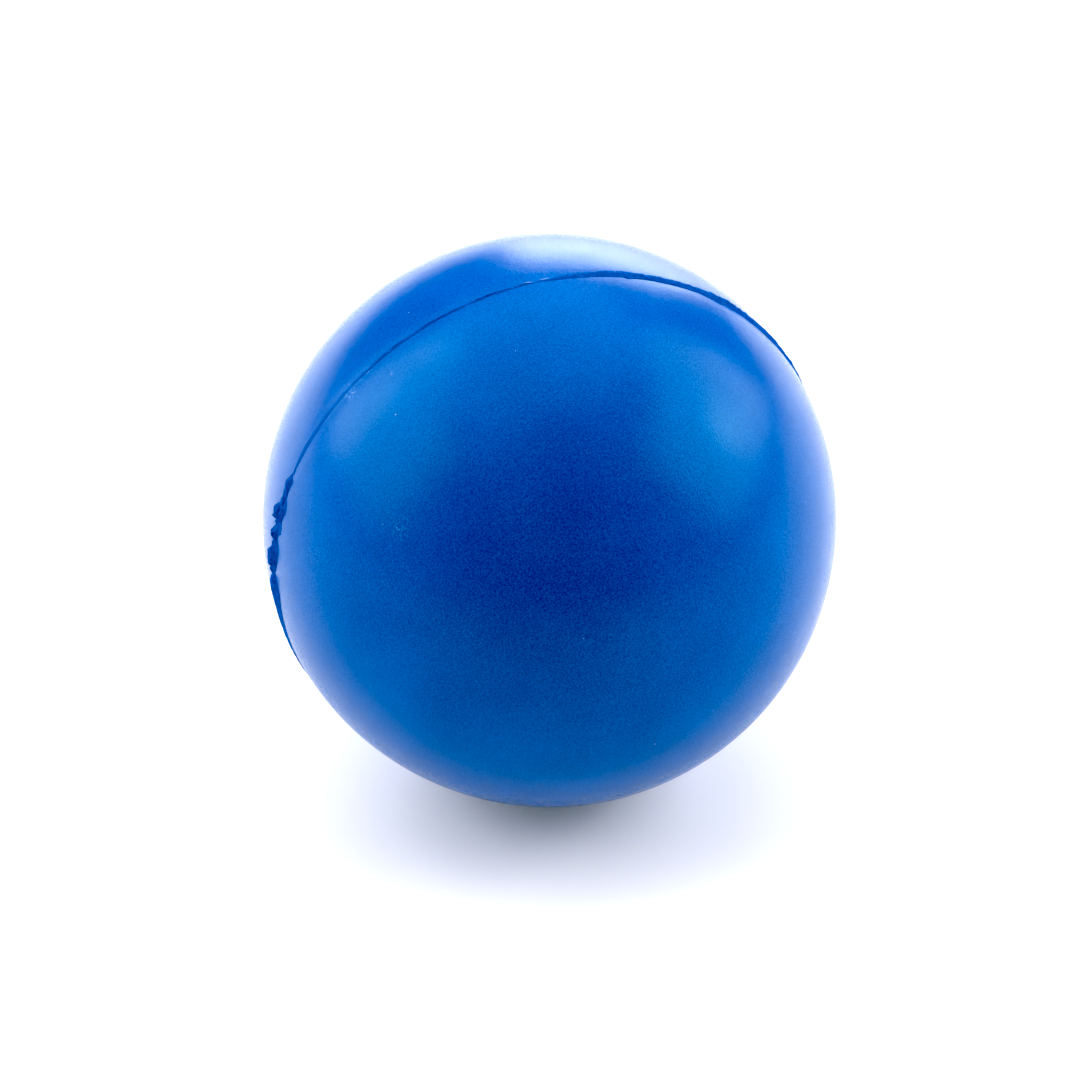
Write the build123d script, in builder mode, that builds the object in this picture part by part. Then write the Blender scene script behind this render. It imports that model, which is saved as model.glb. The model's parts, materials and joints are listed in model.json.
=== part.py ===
from build123d import *

import math
import os

# A foam stress ball, moulded in one shot from self-skinning polyurethane foam in a
# two-part mould. Sizes are in millimetres and angles in degrees.
#
# Frame: the origin is the centre of the ball and +Z is up. The mould halves met on the
# XZ plane, so the seam is the great circle at y = 0, and the front half faces -Y.
# Places round the seam are angles in the XZ plane, from +X (0) towards +Z (90).

os.makedirs("parts", exist_ok=True)

# Driving dimensions
ball_diameter = 63.0
skin_thickness = 0.8  # dense skin that sets against each cool mould half
seam_width = 0.3  # foam that set in the joint between the mould halves
squeeze_gap = 0.1  # clearance round the front half, which is pressed towards the rest

# Flash left standing on the seam after trimming. Each piece has the same inner edge as
# the seam and leans towards the rear half: where it starts and ends, its width across
# the seam, and how far it stands out of the ball.
upper_flash_span = (20.0, 90.0)
upper_flash_width = 1.0
upper_flash_height = 0.3
torn_flash_span = (158.0, 180.5)
torn_flash_width = 1.7
torn_flash_height = 0.6
cut_flash_span = (181.0, 212.0)
cut_flash_width = 1.2
cut_flash_height = 0.25

# Sizes that follow from them
ball_radius = ball_diameter / 2
core_radius = ball_radius - skin_thickness
seam_edge = math.degrees(math.asin(seam_width / 2 / ball_radius))
front_edge = math.degrees(math.asin((seam_width / 2 + squeeze_gap) / ball_radius))
pole = 90.0
seam_axis = Axis((0, 0, 0), (0, -1, 0))  # angles round the seam grow about this axis


def sector(outer_radius, inner_radius, start_angle, end_angle):
    """The outline between two radii and two angles from the x axis of the sketch."""
    turn = end_angle - start_angle
    with BuildLine() as outline:
        outer = CenterArc((0, 0), outer_radius, start_angle, turn)
        inner = CenterArc((0, 0), inner_radius, start_angle, turn)
        Line(outer @ 0, inner @ 0)
        Line(outer @ 1, inner @ 1)
    return outline.edges()


def bead(width, height):
    """The section of a bead of flash: its foot lies on the ball and its crown is an arc."""
    far_edge = math.degrees(math.asin((width - seam_width / 2) / ball_radius))
    with BuildLine() as outline:
        foot = CenterArc((0, 0), ball_radius, -seam_edge, far_edge + seam_edge)
        crown = (foot @ 0.5) * (1 + height / ball_radius)
        ThreePointArc(foot @ 0, crown, foot @ 1)
    return outline.edges()


def seam_plane(angle):
    """A plane through the ball's axis at one place on the seam: x outwards, y to the rear."""
    turn = math.radians(angle)
    outwards = (math.cos(turn), 0, math.sin(turn))
    along_seam = (-math.sin(turn), 0, math.cos(turn))
    return Plane(origin=(0, 0, 0), x_dir=outwards, z_dir=along_seam)


# The soft open-celled inside: a solid ball of light foam under the skin.
with BuildPart() as foam_core:
    Sphere(core_radius)

# The skin that set against the rear mould half.
with BuildPart() as rear_skin:
    with BuildSketch(Plane.XY):
        make_face(sector(ball_radius, core_radius, seam_edge, pole))
    revolve(axis=Axis.Y)

# The skin that set against the front mould half, clear of the rest so that it can be
# pressed in.
with BuildPart() as front_skin:
    with BuildSketch(Plane.XY):
        make_face(sector(ball_radius, core_radius + squeeze_gap, -pole, -front_edge))
    revolve(axis=Axis.Y)

# The seam: a flush ring as deep as the skin, all round between the two halves.
with BuildPart() as parting_seam:
    with BuildSketch(Plane.XY):
        make_face(sector(ball_radius, core_radius, -seam_edge, seam_edge))
    revolve(axis=Axis.Y)

# Flash trimmed short over the top of the ball, standing as a ragged ridge.
with BuildPart() as upper_flash:
    with BuildSketch(seam_plane(upper_flash_span[0])):
        make_face(bead(upper_flash_width, upper_flash_height))
    revolve(axis=seam_axis, revolution_arc=upper_flash_span[1] - upper_flash_span[0])

# Flash torn off on one side instead of cut, so it is wider and stands higher.
with BuildPart() as torn_flash:
    with BuildSketch(seam_plane(torn_flash_span[0])):
        make_face(bead(torn_flash_width, torn_flash_height))
    revolve(axis=seam_axis, revolution_arc=torn_flash_span[1] - torn_flash_span[0])

# Flash cut clean below the tear, a low smooth strip.
with BuildPart() as cut_flash:
    with BuildSketch(seam_plane(cut_flash_span[0])):
        make_face(bead(cut_flash_width, cut_flash_height))
    revolve(axis=seam_axis, revolution_arc=cut_flash_span[1] - cut_flash_span[0])

foam_core.part.label = "foam_core"
export_step(foam_core.part, "parts/foam_core.step")
rear_skin.part.label = "rear_skin"
export_step(rear_skin.part, "parts/rear_skin.step")
front_skin.part.label = "front_skin"
export_step(front_skin.part, "parts/front_skin.step")
parting_seam.part.label = "parting_seam"
export_step(parting_seam.part, "parts/parting_seam.step")
upper_flash.part.label = "upper_flash"
export_step(upper_flash.part, "parts/upper_flash.step")
torn_flash.part.label = "torn_flash"
export_step(torn_flash.part, "parts/torn_flash.step")
cut_flash.part.label = "cut_flash"
export_step(cut_flash.part, "parts/cut_flash.step")
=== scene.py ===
import json
import math

import bmesh
import bpy
import numpy as np
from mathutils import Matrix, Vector

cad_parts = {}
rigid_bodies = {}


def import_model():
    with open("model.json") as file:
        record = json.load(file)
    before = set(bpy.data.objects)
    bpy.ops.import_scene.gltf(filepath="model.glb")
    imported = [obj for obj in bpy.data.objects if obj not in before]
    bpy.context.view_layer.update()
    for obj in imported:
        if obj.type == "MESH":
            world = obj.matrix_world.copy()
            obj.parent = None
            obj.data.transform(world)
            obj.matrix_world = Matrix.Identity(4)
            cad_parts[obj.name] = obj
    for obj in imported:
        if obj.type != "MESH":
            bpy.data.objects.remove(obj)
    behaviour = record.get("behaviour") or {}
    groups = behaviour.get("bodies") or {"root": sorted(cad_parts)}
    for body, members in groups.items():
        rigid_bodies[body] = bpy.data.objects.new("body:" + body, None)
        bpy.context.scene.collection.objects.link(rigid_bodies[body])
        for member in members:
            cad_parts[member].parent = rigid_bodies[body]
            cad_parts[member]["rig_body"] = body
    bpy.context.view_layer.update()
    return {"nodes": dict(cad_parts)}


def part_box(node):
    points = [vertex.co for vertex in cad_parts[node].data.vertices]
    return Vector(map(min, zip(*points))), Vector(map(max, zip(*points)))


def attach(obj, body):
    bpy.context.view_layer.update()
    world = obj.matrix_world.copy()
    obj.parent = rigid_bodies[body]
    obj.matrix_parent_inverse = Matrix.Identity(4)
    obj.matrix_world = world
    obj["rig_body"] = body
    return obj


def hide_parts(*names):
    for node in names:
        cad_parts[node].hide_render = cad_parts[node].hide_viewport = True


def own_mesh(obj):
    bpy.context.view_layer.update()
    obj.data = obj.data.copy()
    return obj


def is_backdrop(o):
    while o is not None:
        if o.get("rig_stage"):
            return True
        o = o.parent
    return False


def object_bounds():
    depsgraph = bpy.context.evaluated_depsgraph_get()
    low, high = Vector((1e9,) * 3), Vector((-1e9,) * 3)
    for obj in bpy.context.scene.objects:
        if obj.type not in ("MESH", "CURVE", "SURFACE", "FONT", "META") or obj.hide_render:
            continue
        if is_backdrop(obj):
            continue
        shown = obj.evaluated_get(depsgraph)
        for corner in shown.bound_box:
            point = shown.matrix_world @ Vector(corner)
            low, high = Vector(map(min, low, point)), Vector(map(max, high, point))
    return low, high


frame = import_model()

# The ball's sizes come from the frame. Lengths are in metres, and places round the seam
# are angles in degrees in the XZ plane, from +X (0) towards +Z (90).
MM = 0.001
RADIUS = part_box("parting_seam")[1].z
CORE_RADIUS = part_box("foam_core")[1].z
SKIN = RADIUS - CORE_RADIUS
CREST = 0.02 * MM  # how far the seam stands out between the skins
SWELL = 0.05 * MM  # how much the ball departs from round, over LONG_WAVE
LONG_WAVE = 16 * MM
RIPPLE = 0.006 * MM  # the skin's fine unevenness, over SHORT_WAVE
SHORT_WAVE = 1.6 * MM
DIP = 0.07 * MM  # how far the skin sinks beside the seam, over DIP_WIDTH
DIP_WIDTH = 0.9 * MM
LIP_WIDTH = 0.15 * MM
FLASH_ROOT = 0.05 * MM  # how far the flash reaches into the ball
REAR, FRONT = 1, -1  # which side of the parting plane, along Y


# ---------------------------------------------------------------- curves and noise

def through(*knots):
    """A smooth curve through listed (angle, value) knots, level beyond its ends."""
    angles, values = np.array(knots, float).T

    def curve(angle):
        held = np.clip(angle, angles[0], angles[-1])
        i = np.clip(np.searchsorted(angles, held, side="right") - 1, 0, len(angles) - 2)
        t = (held - angles[i]) / (angles[i + 1] - angles[i])
        return values[i] + (values[i + 1] - values[i]) * t * t * (3 - 2 * t)

    return curve


def value_noise(points, size, seed):
    """Smooth noise from -1 to 1 at points in metres, with features about size across."""
    cells = 64
    far_corner = 1000.5  # keeps every cell number positive
    table = np.random.default_rng(seed).uniform(-1, 1, (cells, cells, cells))
    scaled = points / size + far_corner
    low = np.floor(scaled).astype(int)
    t = scaled - low
    t = t * t * (3 - 2 * t)
    total = np.zeros(points.shape[:-1])
    for corner in np.ndindex(2, 2, 2):
        weight = np.prod(np.where(corner, t, 1 - t), axis=-1)
        x, y, z = np.moveaxis((low + corner) % cells, -1, 0)
        total += weight * table[x, y, z]
    return total


def fractal(points, size, seed, octaves=3):
    """Layers of noise, each half the size and half the height of the last, within about 1."""
    layers = [value_noise(points, size / 2**k, seed + k) / 2**k for k in range(octaves)]
    return sum(layers) * 0.6


def along_seam(angle, size, seed, octaves=3):
    """The same noise along the seam: angle in degrees, size in metres of its length."""
    turn = np.radians(angle)
    ring = np.stack([np.cos(turn), np.zeros_like(turn), np.sin(turn)], axis=-1) * RADIUS
    return fractal(ring, size, seed, octaves)


def on_ball(angle, across, height):
    """Points at an angle round the seam, a distance across it and a height off the ball."""
    turn, tilt, out = np.broadcast_arrays(np.radians(angle), across / RADIUS, RADIUS + height)
    return np.stack(
        [out * np.cos(tilt) * np.cos(turn), out * np.sin(tilt), out * np.cos(tilt) * np.sin(turn)],
        axis=-1,
    )


def towards(azimuth, elevation):
    """The direction seen from the ball; azimuth 0 is the front, 90 the right, 180 the back."""
    a, e = math.radians(azimuth), math.radians(elevation)
    return Vector((math.sin(a) * math.cos(e), -math.cos(a) * math.cos(e), math.sin(e)))


# ---------------------------------------------------------------- the seam's shape

# Where each mould half's skin ends, in mm from the parting plane.
FRONT_EDGE = through(
    (0, -0.12), (88, -0.12), (96, -0.10), (112, -0.10), (124, -0.15), (131, -0.08),
    (142, -0.18), (152, -0.24), (158, -0.14), (170, -0.20), (212, -0.12), (360, -0.12),
)
REAR_EDGE = through(
    (0, 0.14), (88, 0.20), (94, 0.14), (112, 0.14), (118, 0.20), (127, 0.26), (131, 0.10),
    (138, 0.18), (143, 0.36), (152, 0.44), (157, 0.22), (170, 0.30), (212, 0.14), (360, 0.14),
)
# How proud the lips of the two skins stand, in mm.
REAR_LIP = through(
    (0, 0.02), (86, 0.03), (90, 0.20), (102, 0.16), (108, 0.04), (112, 0.18), (124, 0.16),
    (128, 0.03), (360, 0.02),
)
FRONT_LIP = through((0, 0.01), (131, 0.01), (134, 0.09), (140, 0.08), (145, 0.01), (360, 0.01))


def front_edge(angle):
    return (FRONT_EDGE(angle) + 0.05 * along_seam(angle, 0.7 * MM, 11)) * MM


def rear_edge(angle):
    return (REAR_EDGE(angle) + 0.08 * along_seam(angle, 0.6 * MM, 12)) * MM


# ---------------------------------------------------------------- meshes

def grid_mesh(name, points, wrap):
    """A mesh from rows of points: each row is a closed loop if wrap, and faces join the rows."""
    rows, columns = points.shape[:2]
    index = np.arange(rows * columns).reshape(rows, columns)
    if wrap:
        index = np.concatenate([index, index[:, :1]], axis=1)
    a, b = index[:-1, :-1].ravel(), index[:-1, 1:].ravel()
    c, d = index[1:, 1:].ravel(), index[1:, :-1].ravel()
    faces = np.stack([a, b, c, d], axis=1)
    mesh = bpy.data.meshes.new(name)
    mesh.from_pydata(points.reshape(-1, 3).tolist(), [], faces.tolist())
    return mesh


def finish_mesh(name, mesh, material):
    """Welds the mesh, turns its faces outwards, smooths it and makes it an object."""
    work = bmesh.new()
    work.from_mesh(mesh)
    bmesh.ops.remove_doubles(work, verts=work.verts, dist=0.0005 * MM)
    bmesh.ops.recalc_face_normals(work, faces=work.faces)
    work.to_mesh(mesh)
    work.free()
    mesh.polygons.foreach_set("use_smooth", [True] * len(mesh.polygons))
    mesh.materials.append(material)
    piece = bpy.data.objects.new(name, mesh)
    bpy.context.scene.collection.objects.link(piece)
    return piece


# ---------------------------------------------------------------- the two skins

AROUND = 900  # points round the seam
ROWS = 150  # rows from the seam to the pole
CROWDING = 2.6  # how much closer the rows lie at the seam than at the pole


def skin(name, side, edge, lip, material):
    """Half of the ball's skin: outside from seam to pole, then the inside back again."""
    angle = np.arange(AROUND) * 360 / AROUND
    start = np.abs(edge(angle)) / RADIUS
    step = np.expm1(CROWDING * np.linspace(0, 1, ROWS)) / math.expm1(CROWDING)
    tilt = start + (math.pi / 2 - start) * step[:, None]
    across = side * tilt * RADIUS
    from_edge = (tilt - start) * RADIUS
    flat = on_ball(angle, across, 0.0)
    height = SWELL * fractal(flat, LONG_WAVE, 21)
    height += RIPPLE * fractal(flat, SHORT_WAVE, 22)
    valley = 0.5 + 0.5 * along_seam(angle, 5 * MM, 23 + side)
    height -= DIP * valley * np.exp(-((from_edge / DIP_WIDTH) ** 2))
    dashes = np.clip(0.5 + 1.8 * along_seam(angle, 1.1 * MM, 25 + side), 0, 1.3)
    height += lip(angle) * MM * dashes * np.exp(-((from_edge / LIP_WIDTH) ** 2))
    outside = on_ball(angle, across, height)
    inside = on_ball(angle, across[::-3], -SKIN)  # every third row is enough for a plain bowl
    inside[-1] = on_ball(angle, across[0], -SKIN)
    shell = np.concatenate([outside, inside, outside[:1]])
    mesh = grid_mesh(name, shell, wrap=True)
    return finish_mesh(name, mesh, material)


# ---------------------------------------------------------------- the seam and its flash

def seam_line(name, material):
    """The foam between the two skins, a crumbly line that stands out a little."""
    angle = np.arange(4 * AROUND) * 360 / (4 * AROUND)
    front, rear = front_edge(angle), rear_edge(angle)
    share = np.linspace(0, 1, 7)[:, None]
    across = front + (rear - front) * share
    crumbs = fractal(on_ball(angle, across, 0.0), 0.18 * MM, 31)
    crest = CREST * np.sin(share * math.pi) ** 0.5
    top = on_ball(angle, across, crest + 0.04 * MM * crumbs - 0.02 * MM)
    base = on_ball(angle, across[::-1], -SKIN)
    mesh = grid_mesh(name, np.concatenate([top, base, top[:1]]), wrap=True)
    return finish_mesh(name, mesh, material)


def ribbon(name, angle, front, rear, height, rough, seed, material, pit=None):
    """A closed strip of flash standing on the seam from its front to its rear edge."""
    share = np.linspace(0, 1, 25)[:, None]
    across = front + (rear - front) * share
    crown = np.minimum(1, 2.2 * share) * (1 - np.maximum(2 * share - 1, 0) ** 3) ** 0.6
    crumbs = fractal(on_ball(angle, across, 0.0), 0.3 * MM, seed, 4)
    top_height = height * crown * (1 + 0.3 * crumbs) + rough * crumbs * crown
    if pit is not None:
        top_height = top_height - pit(angle, across) * crown
    top = on_ball(angle, across, top_height)
    base = on_ball(angle, across[::-1], -FLASH_ROOT)
    mesh = grid_mesh(name, np.concatenate([top, base, top[:1]]), wrap=False)
    return finish_mesh(name, mesh, material)


def teeth(angle, size, seed):
    """A saw-toothed edge from 0 to 1 along the seam, as foam tears or is snipped."""
    return 1 - np.abs(np.clip(1.6 * along_seam(angle, size, seed, 3), -1, 1))


def upper_flash(name, material):
    angle = np.arange(18, 92, 0.06)
    front = through(
        (18, -0.05), (22, -0.15), (30, -0.25), (40, -0.32), (51.2, -0.32), (52, -0.75),
        (54.5, -0.50), (58, -0.25), (66, -0.35), (72, -0.38), (74, -0.62), (75.2, -0.35),
        (80, -0.30), (84, -0.42), (88, -0.28), (92, -0.12),
    )(angle)
    rear = through(
        (18, 0.05), (22, 0.25), (30, 0.40), (40, 0.45), (49.6, 0.40), (50.4, 0.80), (54, 0.50),
        (60, 0.35), (72, 0.35), (77, 0.45), (82, 0.30), (88, 0.22), (92, 0.12),
    )(angle)
    height = through(
        (18, 0.04), (22, 0.14), (30, 0.24), (42, 0.28), (52, 0.34), (58, 0.20), (66, 0.18),
        (76, 0.20), (84, 0.12), (88, 0.07), (92, 0.0),
    )(angle)
    end = through((18, 0), (24, 1), (84, 1), (92, 0.1))(angle)
    front = front + 0.05 * along_seam(angle, 0.8 * MM, 41) * end
    rear = rear + 0.42 * teeth(angle, 0.45 * MM, 42) * end
    return ribbon(
        name, angle, front * MM, rear * MM, height * MM, 0.05 * MM * end, 43, material
    )


def torn_flash(name, material):
    angle = np.arange(157.5, 181, 0.05)
    front = through(
        (157.5, -0.1), (158.6, -0.55), (159.6, -0.6), (160.4, -0.45), (162.6, -0.55),
        (163.5, -1.35), (165, -1.4), (166.2, -1.0), (167.4, -1.0), (168.6, -1.4), (169.6, -1.45),
        (170.8, -0.6), (171.8, -0.6), (173, -1.35), (175.4, -1.4), (177, -1.1), (179, -0.7),
        (180.4, -0.35), (181, -0.3),
    )(angle)
    rear = through(
        (157.5, 0.1), (159.4, 0.35), (160.2, 0.45), (161.4, 0.2), (163.8, 0.3), (165.6, 0.85),
        (167.1, 0.8), (168, 0.15), (169.4, 0.2), (170.9, 0.5), (171.7, 0.5), (172.7, 0.2),
        (174.2, 0.25), (175.2, 0.6), (177.6, 0.7), (178.8, 0.4), (180, 0.2), (181, 0.1),
    )(angle)
    height = through(
        (157.5, 0.0), (159.5, 0.32), (161.2, 0.18), (163.5, 0.22), (165.5, 0.66), (166.8, 0.62),
        (167.9, 0.26), (169.2, 0.2), (170.6, 0.45), (171.3, 0.48), (172.5, 0.26), (173.8, 0.32),
        (175, 0.58), (177, 0.68), (178.4, 0.42), (179.9, 0.22), (180.6, 0.1), (181, 0.1),
    )(angle)

    def pocket(angle, across):
        """A burst bubble in the largest lump."""
        along = (angle - 165.2) / 0.7
        sideways = (across + 0.35 * MM) / (0.3 * MM)
        return 0.45 * MM * np.exp(-(along**2) - sideways**2)

    front = front - 0.12 * along_seam(angle, 0.6 * MM, 51)
    rear = rear + 0.3 * teeth(angle, 0.8 * MM, 52)
    return ribbon(
        name, angle, front * MM, rear * MM, height * MM, 0.12 * MM, 53, material, pocket
    )


def cut_flash(name, material):
    angle = np.arange(180.4, 214, 0.08)
    front = through(
        (180.4, -0.25), (181.2, -0.9), (182.4, -1.5), (184.5, -1.85), (188, -1.7), (192, -1.5),
        (200, -1.2), (208, -0.8), (214, -0.05),
    )(angle)
    rear = through(
        (180.4, 0.15), (181.4, 0.5), (184, 0.7), (190, 0.7), (200, 0.5), (208, 0.3), (214, 0.05)
    )(angle)
    height = through(
        (180.4, 0.12), (181.6, 0.4), (183.4, 0.46), (186, 0.34), (190, 0.22), (196, 0.17),
        (204, 0.14), (210, 0.09), (214, 0.0),
    )(angle)
    front = front + 0.06 * along_seam(angle, 1.2 * MM, 61)
    rear = rear + 0.04 * along_seam(angle, 1.5 * MM, 62)
    return ribbon(name, angle, front * MM, rear * MM, height * MM, 0.012 * MM, 63, material)


def core(name, material):
    """The soft inside, with the open cells of the foam on its surface."""
    angle = np.arange(0, 360, 1.5)
    tilt = np.linspace(-math.pi / 2, math.pi / 2, 121)[:, None]
    across = tilt * RADIUS
    flat = on_ball(angle, across, -SKIN)
    cells = np.minimum(fractal(flat, 1.2 * MM, 71), 0.0)
    points = on_ball(angle, across, -SKIN - 0.02 * MM + 0.3 * MM * cells)
    return finish_mesh(name, grid_mesh(name, points, wrap=True), material)


# ---------------------------------------------------------------- materials

CHALKY = (0.25, 0.42, 0.70)  # scuffed foam and dust

# Where the skin is scuffed: azimuth, elevation, radius in mm, strength.
SCUFFS = (
    (-90.3, 49.3, 0.45, 1.0),  # a nick beside the seam
    (-80.8, 53.1, 0.35, 0.9),
    (-88.0, 44.0, 1.0, 0.6),
    (-52.5, 28.5, 1.6, 0.35),  # a rub mark lower down
)


def ramp(tree, source, low, high, low_colour, high_colour):
    made = tree.nodes.new("ShaderNodeValToRGB")
    made.color_ramp.elements[0].position = low
    made.color_ramp.elements[1].position = high
    made.color_ramp.elements[0].color = (*low_colour, 1)
    made.color_ramp.elements[1].color = (*high_colour, 1)
    tree.links.new(source, made.inputs["Fac"])
    return made.outputs["Color"]


def scale_range(tree, source, low, high, source_low=0, source_high=1):
    """A value that goes from low to high as its source goes from source_low to source_high."""
    made = tree.nodes.new("ShaderNodeMapRange")
    made.inputs["From Min"].default_value = source_low
    made.inputs["From Max"].default_value = source_high
    made.inputs["To Min"].default_value = low
    made.inputs["To Max"].default_value = high
    tree.links.new(source, made.inputs["Value"])
    return made.outputs["Result"]


def mix_values(tree, first, second, share):
    """Part of one value with the rest of another."""
    made = tree.nodes.new("ShaderNodeMix")
    made.inputs["Factor"].default_value = share
    tree.links.new(first, made.inputs["A"])
    tree.links.new(second, made.inputs["B"])
    return made.outputs["Result"]


def new_material(name):
    material = bpy.data.materials.new(name)
    material.use_nodes = True
    tree = material.node_tree
    shader = tree.nodes["Principled BSDF"]
    place = tree.nodes.new("ShaderNodeTexCoord").outputs["Object"]
    return material, tree, shader, place


def noise_node(tree, place, size, detail=2.0, rough=0.5):
    made = tree.nodes.new("ShaderNodeTexNoise")
    made.inputs["Scale"].default_value = 1 / size
    made.inputs["Detail"].default_value = detail
    made.inputs["Roughness"].default_value = rough
    tree.links.new(place, made.inputs["Vector"])
    return made.outputs["Fac"]


def bump(tree, source, strength, distance, under=None):
    made = tree.nodes.new("ShaderNodeBump")
    made.inputs["Strength"].default_value = strength
    made.inputs["Distance"].default_value = distance
    tree.links.new(source, made.inputs["Height"])
    if under is not None:
        tree.links.new(under, made.inputs["Normal"])
    return made.outputs["Normal"]


def near(tree, place, centre, radius):
    """1 at a point on the ball, fading to 0 at a distance from it."""
    gap = tree.nodes.new("ShaderNodeVectorMath")
    gap.operation = "DISTANCE"
    gap.inputs[1].default_value = centre
    tree.links.new(place, gap.inputs[0])
    return scale_range(tree, gap.outputs["Value"], 1, 0, 0.3 * radius, radius)


def specks(tree, place, spacing, radius):
    """Sparse round dots of dust, no more than one to each cell of the given spacing."""
    cells = tree.nodes.new("ShaderNodeTexVoronoi")
    cells.inputs["Scale"].default_value = 1 / spacing
    tree.links.new(place, cells.inputs["Vector"])
    edge = radius / spacing
    return scale_range(tree, cells.outputs["Distance"], 1, 0, 0.5 * edge, edge)


def tinted(tree, base, amount, strength, colour):
    """A colour with some of another laid over it where the amount is high."""
    made = tree.nodes.new("ShaderNodeMix")
    made.data_type = "RGBA"
    tree.links.new(scale_range(tree, amount, 0, strength), made.inputs["Factor"])
    tree.links.new(base, made.inputs["A"])
    made.inputs["B"].default_value = (*colour, 1)
    return made.outputs["Result"]


def product(tree, first, second):
    made = tree.nodes.new("ShaderNodeMath")
    made.operation = "MULTIPLY"
    tree.links.new(first, made.inputs[0])
    tree.links.new(second, made.inputs[1])
    return made.outputs["Value"]


def skin_material():
    material, tree, shader, place = new_material("satin_blue_skin")
    clouds = noise_node(tree, place, 9 * MM, 5)
    speckle = noise_node(tree, place, 0.2 * MM, 3)
    tone = mix_values(tree, clouds, speckle, 0.75)
    colour = ramp(tree, tone, 0.36, 0.64, (0.006, 0.064, 0.295), (0.014, 0.108, 0.415))
    for azimuth, elevation, radius, strength in SCUFFS:
        patch = near(tree, place, towards(azimuth, elevation) * RADIUS, radius * MM)
        scratches = scale_range(tree, noise_node(tree, place, 0.3 * MM, 4, 0.7), 0, 1, 0.5, 0.7)
        colour = tinted(tree, colour, product(tree, patch, scratches), strength, CHALKY)
    colour = tinted(tree, colour, specks(tree, place, 4.5 * MM, 0.11 * MM), 0.6, CHALKY)
    tree.links.new(colour, shader.inputs["Base Color"])
    haze = noise_node(tree, place, 3 * MM, 5)
    tree.links.new(scale_range(tree, haze, 0.18, 0.30), shader.inputs["Roughness"])
    shader.inputs["IOR"].default_value = 1.3
    shader.inputs["Specular Tint"].default_value = (0.2, 0.8, 1.0, 1)
    peel = bump(tree, noise_node(tree, place, 0.9 * MM, 2), 0.2, 0.05 * MM)
    grain = bump(tree, noise_node(tree, place, 0.2 * MM, 1), 0.7, 0.03 * MM, peel)
    tree.links.new(grain, shader.inputs["Normal"])
    return material


def bare_foam_material():
    material, tree, shader, place = new_material("bare_blue_foam")
    mottle = noise_node(tree, place, 0.4 * MM, 4)
    colour = ramp(tree, mottle, 0.35, 0.65, (0.0, 0.060, 0.26), (0.0, 0.085, 0.35))
    tree.links.new(colour, shader.inputs["Base Color"])
    shader.inputs["Roughness"].default_value = 0.85
    shader.inputs["Specular IOR Level"].default_value = 0.15
    cells = bump(tree, noise_node(tree, place, 0.12 * MM, 3), 0.7, 0.05 * MM)
    tree.links.new(cells, shader.inputs["Normal"])
    return material


def core_material():
    material, tree, shader, place = new_material("open_cell_foam")
    mottle = noise_node(tree, place, 1.0 * MM, 4)
    colour = ramp(tree, mottle, 0.3, 0.7, (0.02, 0.10, 0.42), (0.05, 0.16, 0.55))
    tree.links.new(colour, shader.inputs["Base Color"])
    shader.inputs["Roughness"].default_value = 0.95
    cells = bump(tree, noise_node(tree, place, 0.5 * MM, 3), 0.8, 0.2 * MM)
    tree.links.new(cells, shader.inputs["Normal"])
    return material


# ---------------------------------------------------------------- putting the ball together

SKIN_LOOK = skin_material()
FOAM_LOOK = bare_foam_material()

PIECES = (
    (skin("front_skin_moulding", FRONT, front_edge, FRONT_LIP, SKIN_LOOK), "front_skin", "skin"),
    (skin("rear_skin_moulding", REAR, rear_edge, REAR_LIP, SKIN_LOOK), "rear_skin", "skin"),
    (seam_line("seam_line", FOAM_LOOK), "parting_seam", "bare_foam"),
    (upper_flash("upper_flash_ridge", FOAM_LOOK), "upper_flash", "bare_foam"),
    (torn_flash("torn_flash_patch", FOAM_LOOK), "torn_flash", "bare_foam"),
    (cut_flash("cut_flash_strip", FOAM_LOOK), "cut_flash", "bare_foam"),
    (core("soft_foam_core", core_material()), "foam_core", "core_foam"),
)

for piece, cad_node, slot in PIECES:
    body = frame["nodes"][cad_node]["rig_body"]
    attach(piece, body)
    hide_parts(cad_node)
    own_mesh(piece)


# ---------------------------------------------------------------- floor, light and camera

LIGHT_DISTANCE = 1.5  # metres from the ball
VIEW_AZIMUTH, VIEW_ELEVATION = -17.7, 35.3
BLACK_LEVEL = (0.07, 0.06, 0.12)  # for the deep shadows of a high-contrast product picture


def studio_floor(glow):
    """A white floor that also gives off a little light, as a lit table does."""
    bpy.ops.mesh.primitive_plane_add(size=2 * LIGHT_DISTANCE, location=(0, 0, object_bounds()[0].z))
    floor = bpy.context.object
    floor.name = "studio_floor"
    material = bpy.data.materials.new("white_floor")
    material.use_nodes = True
    shader = material.node_tree.nodes["Principled BSDF"]
    shader.inputs["Base Color"].default_value = (0.92, 0.92, 0.93, 1)
    shader.inputs["Roughness"].default_value = 0.9
    shader.inputs["Emission Color"].default_value = (1, 1, 1, 1)
    shader.inputs["Emission Strength"].default_value = glow
    floor.data.materials.append(material)
    floor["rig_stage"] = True


def softbox(name, azimuth, elevation, width, height, power):
    light = bpy.data.lights.new(name, "AREA")
    light.shape = "RECTANGLE"
    light.size = width
    light.size_y = height
    light.energy = power
    holder = bpy.data.objects.new(name, light)
    holder.location = towards(azimuth, elevation) * LIGHT_DISTANCE
    holder.rotation_mode = "QUATERNION"
    holder.rotation_quaternion = holder.location.to_track_quat("Z", "Y")
    bpy.context.scene.collection.objects.link(holder)


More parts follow.
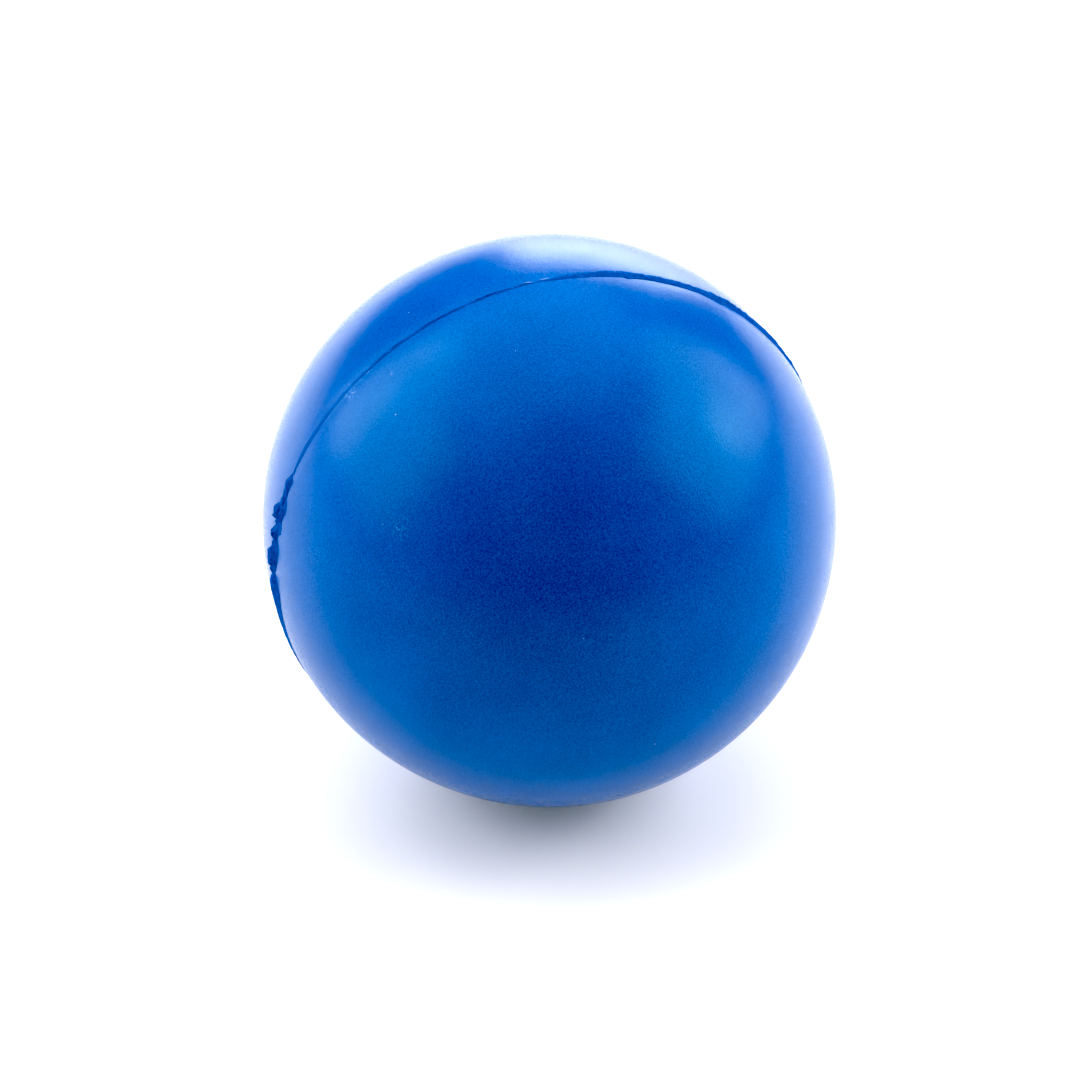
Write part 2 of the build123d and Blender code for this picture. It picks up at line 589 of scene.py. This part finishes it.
def tent_light(azimuth, elevation, strength, dark_from, dark_to):
    """White cloth all round, fading to black towards its opening, which only the ball sees."""
    world = bpy.data.worlds.new("white_tent")
    world.use_nodes = True
    tree = world.node_tree
    towards_opening = tree.nodes.new("ShaderNodeVectorMath")
    towards_opening.operation = "DOT_PRODUCT"
    towards_opening.inputs[1].default_value = towards(azimuth, elevation)
    place = tree.nodes.new("ShaderNodeTexCoord")
    tree.links.new(place.outputs["Generated"], towards_opening.inputs[0])
    fade = tree.nodes.new("ShaderNodeMapRange")
    fade.interpolation_type = "SMOOTHSTEP"
    fade.inputs["From Min"].default_value = math.cos(math.radians(dark_to))
    fade.inputs["From Max"].default_value = math.cos(math.radians(dark_from))
    fade.inputs["To Min"].default_value = strength
    fade.inputs["To Max"].default_value = 0
    tree.links.new(towards_opening.outputs["Value"], fade.inputs["Value"])
    light_path = tree.nodes.new("ShaderNodeLightPath")
    backdrop = tree.nodes.new("ShaderNodeMath")
    backdrop.operation = "MAXIMUM"
    tree.links.new(light_path.outputs["Is Camera Ray"], backdrop.inputs[0])
    tree.links.new(fade.outputs["Result"], backdrop.inputs[1])
    cloth = tree.nodes["Background"]  # plain white where the camera sees it directly
    cloth.inputs["Color"].default_value = (1, 1, 1, 1)
    tree.links.new(backdrop.outputs["Value"], cloth.inputs["Strength"])
    bpy.context.scene.world = world


def aimed_camera(azimuth, elevation, distance, lens, off_right, off_up):
    """A camera looking at the ball, with the ball off the middle of the frame."""
    back = towards(azimuth, elevation)
    turned = back.to_track_quat("Z", "Y")
    right, up = turned @ Vector((1, 0, 0)), turned @ Vector((0, 1, 0))
    camera = bpy.data.objects.new("camera", bpy.data.cameras.new("camera"))
    camera.data.lens = lens
    camera.data.sensor_width = 36
    camera.location = back * distance - right * off_right - up * off_up
    camera.rotation_mode = "QUATERNION"
    camera.rotation_quaternion = turned
    bpy.context.scene.collection.objects.link(camera)
    bpy.context.scene.camera = camera


studio_floor(glow=0.05)
tent_light(VIEW_AZIMUTH, VIEW_ELEVATION, strength=0.087, dark_from=54, dark_to=92)
softbox("top_panel", azimuth=180, elevation=68, width=1.8, height=1.8, power=26)
softbox("right_panel", azimuth=84, elevation=31, width=1.7, height=1.3, power=35)
softbox("left_panel", azimuth=244, elevation=31, width=1.7, height=1.3, power=32)
softbox("back_panel", azimuth=154, elevation=9, width=0.72, height=0.7, power=10)
softbox("right_lamp", azimuth=85, elevation=26, width=0.36, height=0.36, power=3.0)
softbox("low_left_lamp", azimuth=231, elevation=14, width=0.25, height=0.4, power=1.1)
softbox("high_left_lamp", azimuth=230, elevation=30, width=0.35, height=0.22, power=1.0)
aimed_camera(
    VIEW_AZIMUTH, VIEW_ELEVATION, distance=0.7141, lens=216.7, off_right=0.00105, off_up=0.002175
)

view = bpy.context.scene.view_settings
view.view_transform = "Standard"
view.use_curve_mapping = True
view.curve_mapping.black_level = BLACK_LEVEL
view.curve_mapping.update()
